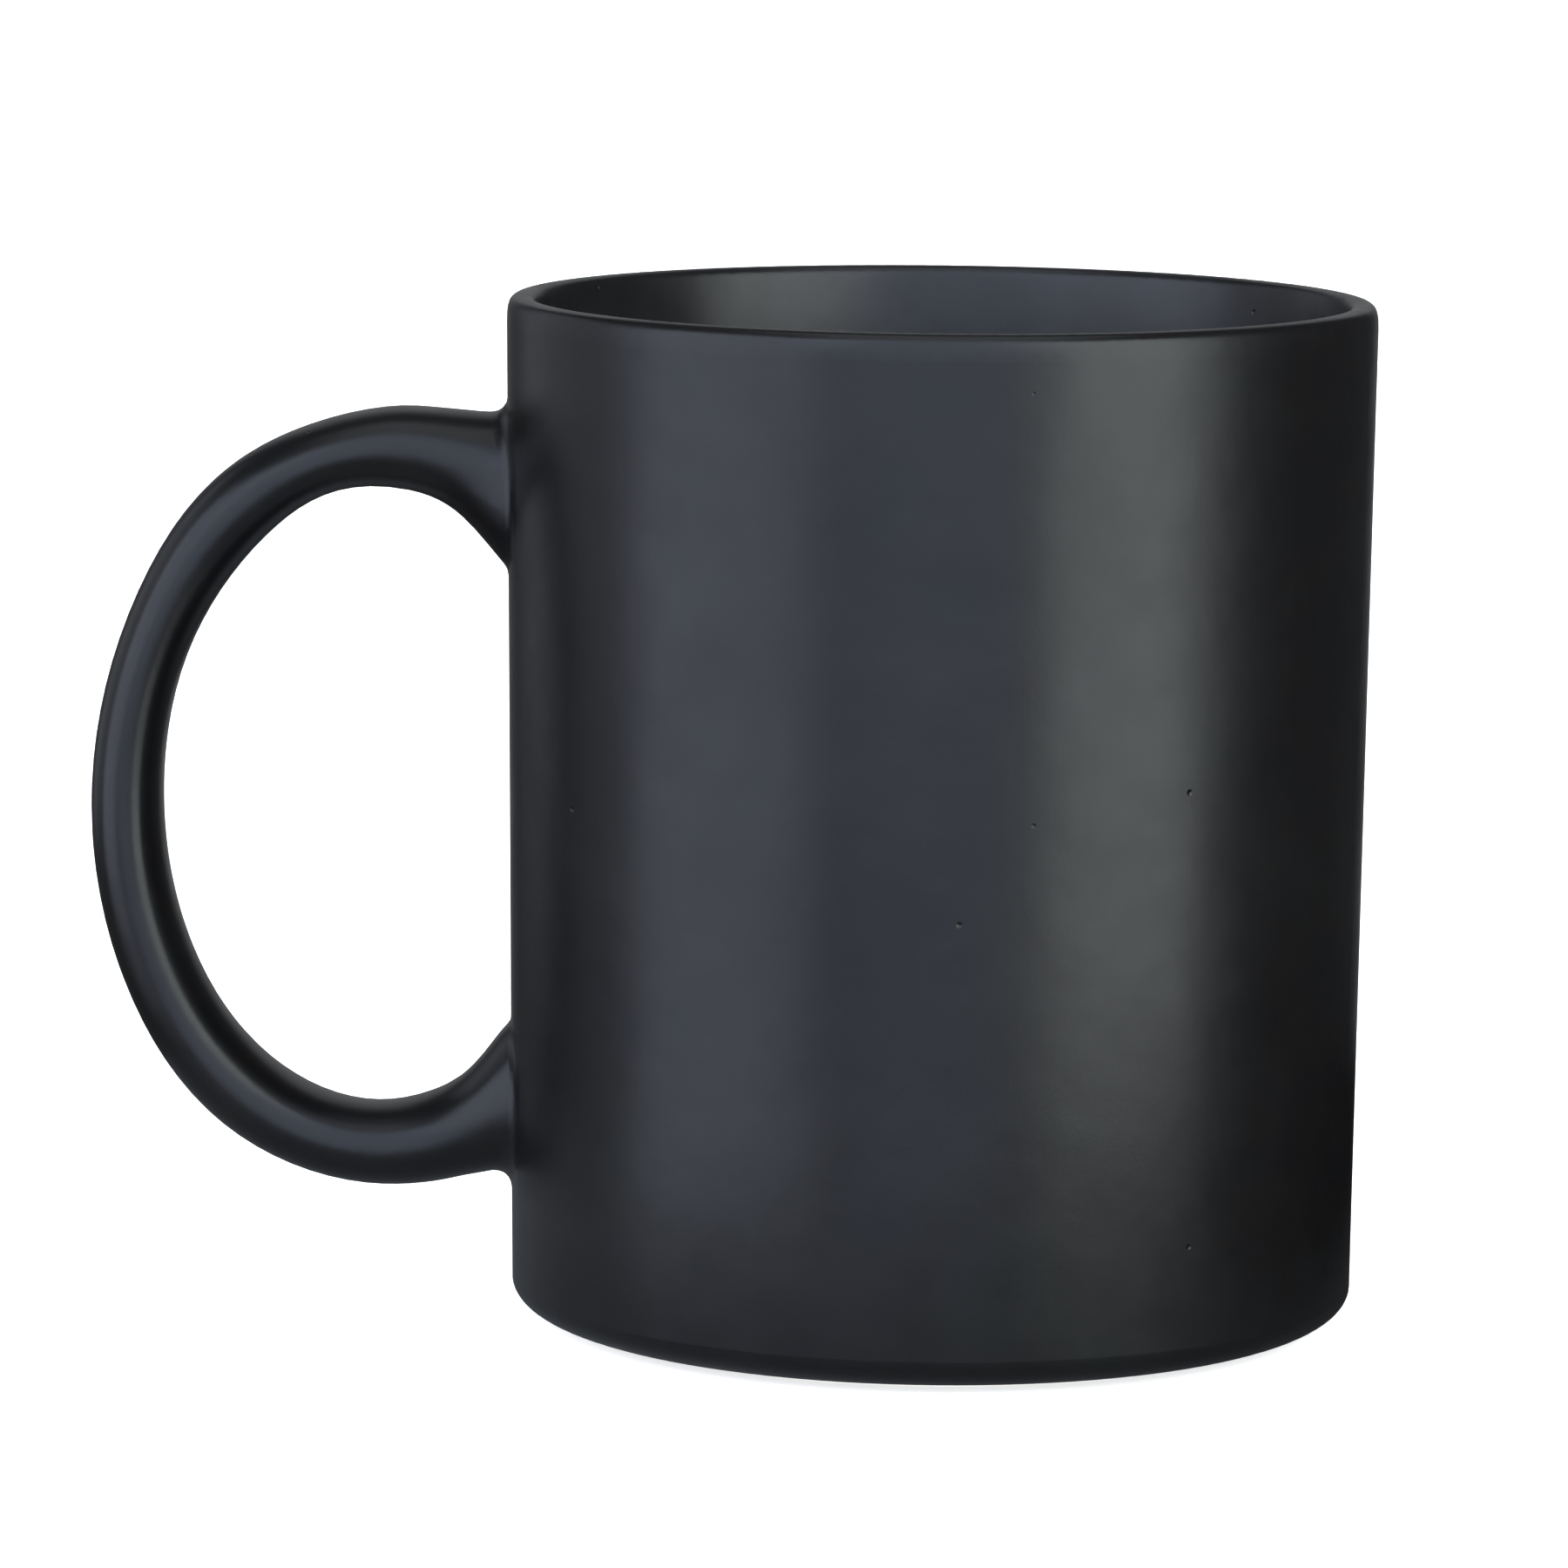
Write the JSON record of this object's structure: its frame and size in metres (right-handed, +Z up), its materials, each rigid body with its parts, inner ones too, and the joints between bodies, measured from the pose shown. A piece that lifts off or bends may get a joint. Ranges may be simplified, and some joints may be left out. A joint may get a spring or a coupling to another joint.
{
  "type": "ceramic mug",
  "caption": "Straight-sided satin black ceramic mug with a C-shaped side handle, rounded lip and a low bare foot ring.",
  "frame": {"origin": "centre of the foot ring's resting face", "axes": "+Z up along the cup's axis, the handle points along -X, and Y is across the handle"},
  "size_m": [0.1213, 0.082, 0.0972],
  "materials": {
    "fired_clay": "unglazed, fine-grained, dry matt",
    "joint_slip": "unglazed, smoothed with a wet brush",
    "outer_glaze": "satin black, faint blue-grey cast",
    "inner_glaze": "semi-gloss black",
    "recess_glaze": "satin black"
  },
  "bodies": {
    "root": {"cup_body": "fired_clay", "handle": "fired_clay", "upper_slip_joint": "joint_slip", "lower_slip_joint": "joint_slip", "exterior_glaze": "outer_glaze", "interior_glaze": "inner_glaze", "foot_recess_glaze": "recess_glaze"}
  },
  "joints": []
}
